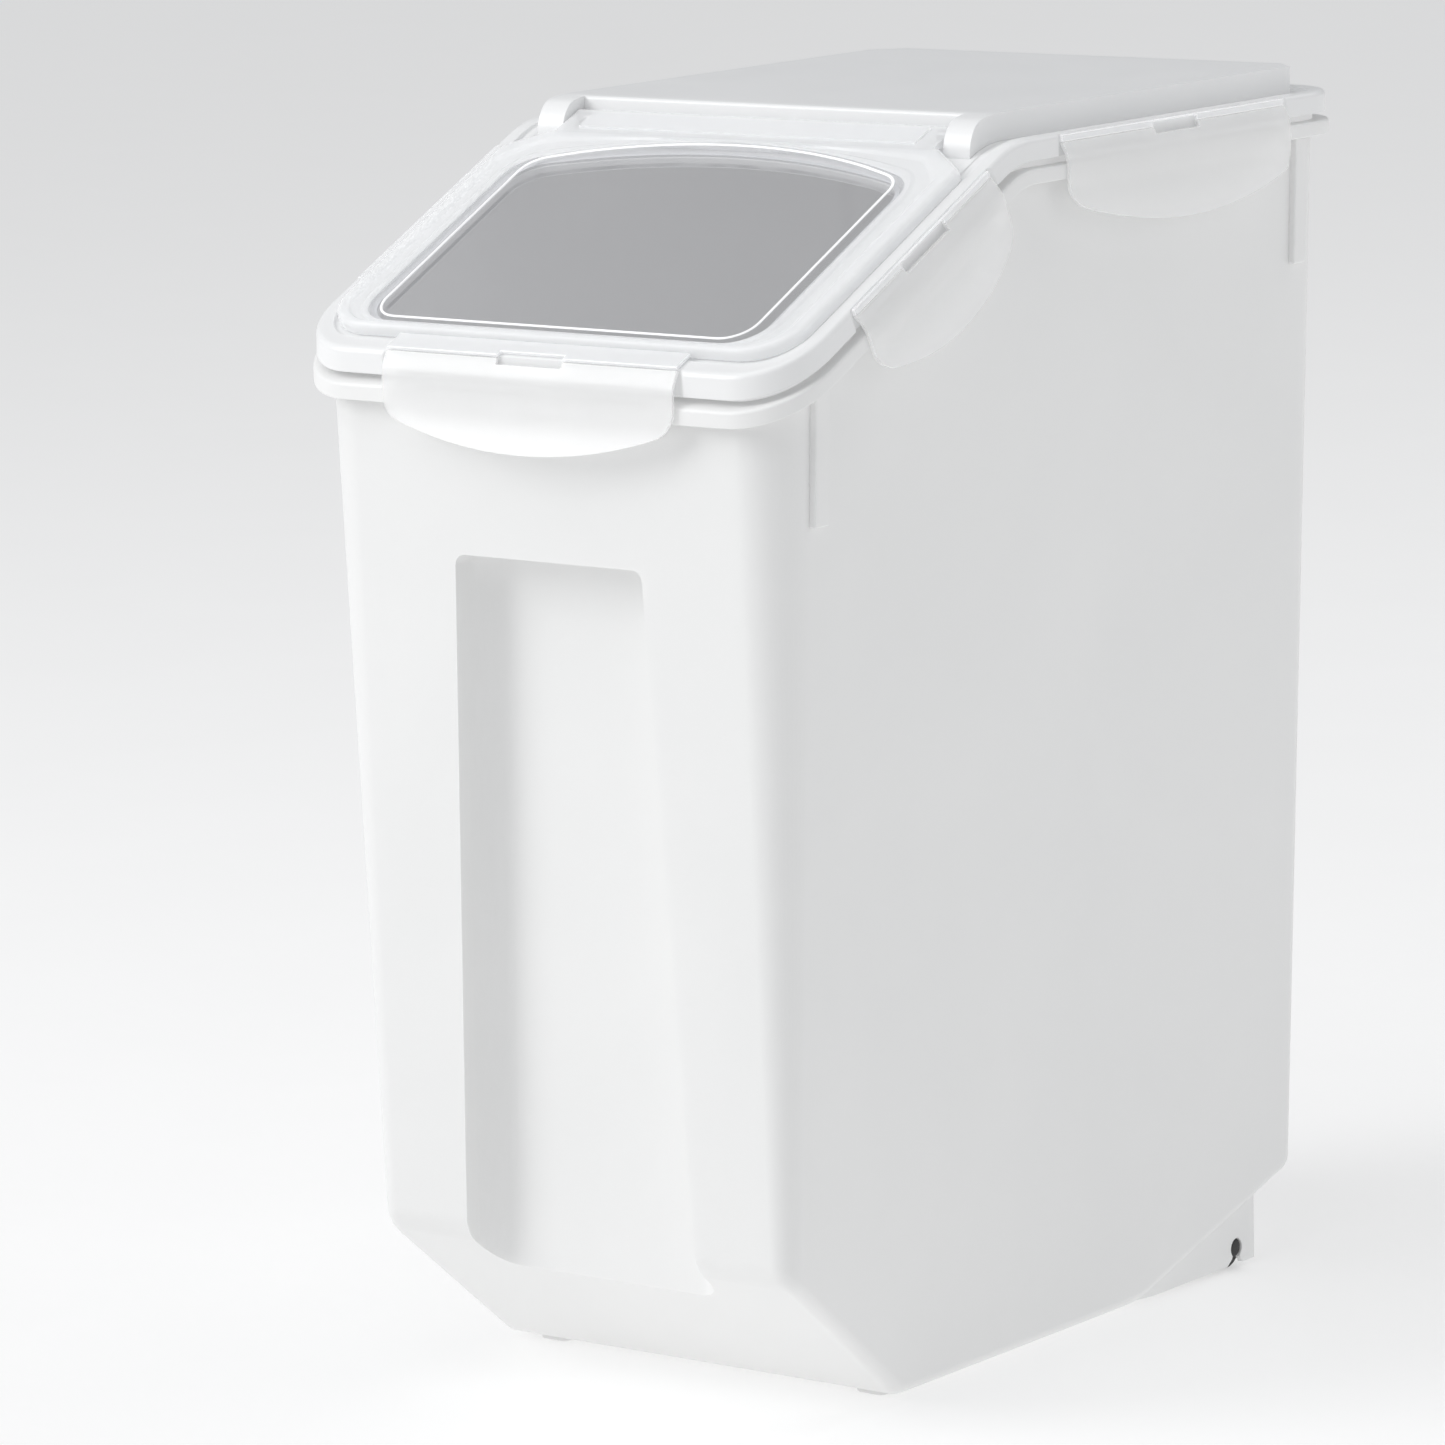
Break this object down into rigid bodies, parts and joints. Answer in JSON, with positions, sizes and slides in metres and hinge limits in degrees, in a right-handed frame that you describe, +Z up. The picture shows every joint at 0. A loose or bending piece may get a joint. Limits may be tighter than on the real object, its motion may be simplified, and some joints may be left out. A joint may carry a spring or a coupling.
{
  "type": "pet food storage bin",
  "caption": "Tall wheeled dry food bin with a sloped front lid, hinged clear flip window, hanging side latches and a tapered front grip recess",
  "frame": {"origin": "centre of the footprint of the bounding box, on the floor", "axes": "+Z up, -Y the front with the grip recess and the flip window, +X to the right of someone who faces the front"},
  "size_m": [0.2616, 0.4138, 0.5108],
  "materials": {
    "tub_plastic": "satin",
    "lid_plastic": "satin",
    "milky_plastic": "translucent satin",
    "clear_plastic": "clear gloss",
    "silicone": "matt",
    "black_plastic": "matt",
    "steel": "drawn wire"
  },
  "bodies": {
    "bin": {"bin_body": "tub_plastic"},
    "lid": {"lid_frame": "lid_plastic", "lid_seal": "silicone", "top_panel": "lid_plastic", "window_hinge_pins": "steel"},
    "window": {"window_frame": "milky_plastic", "window_pane": "clear_plastic", "window_seal": "silicone"},
    "front_strap": {"front_strap": "milky_plastic"},
    "front_latch": {"front_latch": "milky_plastic"},
    "strap_front_right": {"strap_front_right": "milky_plastic"},
    "latch_front_right": {"latch_front_right": "milky_plastic"},
    "strap_front_left": {"strap_front_left": "milky_plastic"},
    "latch_front_left": {"latch_front_left": "milky_plastic"},
    "strap_rear_right": {"strap_rear_right": "milky_plastic"},
    "latch_rear_right": {"latch_rear_right": "milky_plastic"},
    "strap_rear_left": {"strap_rear_left": "milky_plastic"},
    "latch_rear_left": {"latch_rear_left": "milky_plastic"},
    "wheel_right": {"wheel_right": "black_plastic", "wheel_axle_right": "black_plastic"},
    "wheel_left": {"wheel_left": "black_plastic", "wheel_axle_left": "black_plastic"}
  },
  "joints": [
    {"name": "lid_lift", "type": "slide", "parent": "bin", "child": "lid", "axis": [0, 0, 1], "range_m": [0, 0.03]},
    {"name": "window_flip", "type": "hinge", "parent": "lid", "child": "window", "pos_m": [0, -0.0419, 0.502], "axis": [-1, 0, 0], "range_deg": [0, 110]},
    {"name": "front_strap_hinge", "type": "hinge", "parent": "window", "child": "front_strap", "pos_m": [0, -0.18995, 0.43147], "axis": [-1, 0, 0], "range_deg": [0, 80.1]},
    {"name": "front_latch_hinge", "type": "hinge", "parent": "front_strap", "child": "front_latch", "pos_m": [0, -0.1991, 0.42556], "axis": [-1, 0, 0], "range_deg": [0, 90]},
    {"name": "strap_front_right_hinge", "type": "hinge", "parent": "lid", "child": "strap_front_right", "pos_m": [0.12215, -0.10758, 0.46913], "axis": [0, -0.8996, -0.4368], "range_deg": [0, 75.1]},
    {"name": "latch_front_right_hinge", "type": "hinge", "parent": "strap_front_right", "child": "latch_front_right", "pos_m": [0.12295, -0.10623, 0.46634], "axis": [0, -0.8996, -0.4368], "range_deg": [0, 85]},
    {"name": "strap_front_left_hinge", "type": "hinge", "parent": "lid", "child": "strap_front_left", "pos_m": [-0.12215, -0.10758, 0.46913], "axis": [0, 0.8996, 0.4368], "range_deg": [0, 75.1]},
    {"name": "latch_front_left_hinge", "type": "hinge", "parent": "strap_front_left", "child": "latch_front_left", "pos_m": [-0.12295, -0.10623, 0.46634], "axis": [0, 0.8996, 0.4368], "range_deg": [0, 85]},
    {"name": "strap_rear_right_hinge", "type": "hinge", "parent": "lid", "child": "strap_rear_right", "pos_m": [0.12215, 0.0715, 0.5007], "axis": [0, -1, 0], "range_deg": [0, 75.1]},
    {"name": "latch_rear_right_hinge", "type": "hinge", "parent": "strap_rear_right", "child": "latch_rear_right", "pos_m": [0.12295, 0.0715, 0.4976], "axis": [0, -1, 0], "range_deg": [0, 85]},
    {"name": "strap_rear_left_hinge", "type": "hinge", "parent": "lid", "child": "strap_rear_left", "pos_m": [-0.12215, 0.0715, 0.5007], "axis": [0, 1, 0], "range_deg": [0, 75.1]},
    {"name": "latch_rear_left_hinge", "type": "hinge", "parent": "strap_rear_left", "child": "latch_rear_left", "pos_m": [-0.12295, 0.0715, 0.4976], "axis": [0, 1, 0], "range_deg": [0, 85]},
    {"name": "wheel_right_spin", "type": "hinge", "parent": "bin", "child": "wheel_right", "pos_m": [0.0845, 0.1471, 0.0095], "axis": [1, 0, 0], "continuous": true},
    {"name": "wheel_left_spin", "type": "hinge", "parent": "bin", "child": "wheel_left", "pos_m": [-0.0845, 0.1471, 0.0095], "axis": [1, 0, 0], "continuous": true}
  ],
  "couplings": [
    {"joint": "front_strap_hinge", "follows": "window_flip", "ratio": 0.7273},
    {"joint": "strap_front_right_hinge", "follows": "lid_lift", "rad_per_m": 43.633},
    {"joint": "strap_front_left_hinge", "follows": "lid_lift", "rad_per_m": 43.633},
    {"joint": "strap_rear_right_hinge", "follows": "lid_lift", "rad_per_m": 43.633},
    {"joint": "strap_rear_left_hinge", "follows": "lid_lift", "rad_per_m": 43.633}
  ]
}
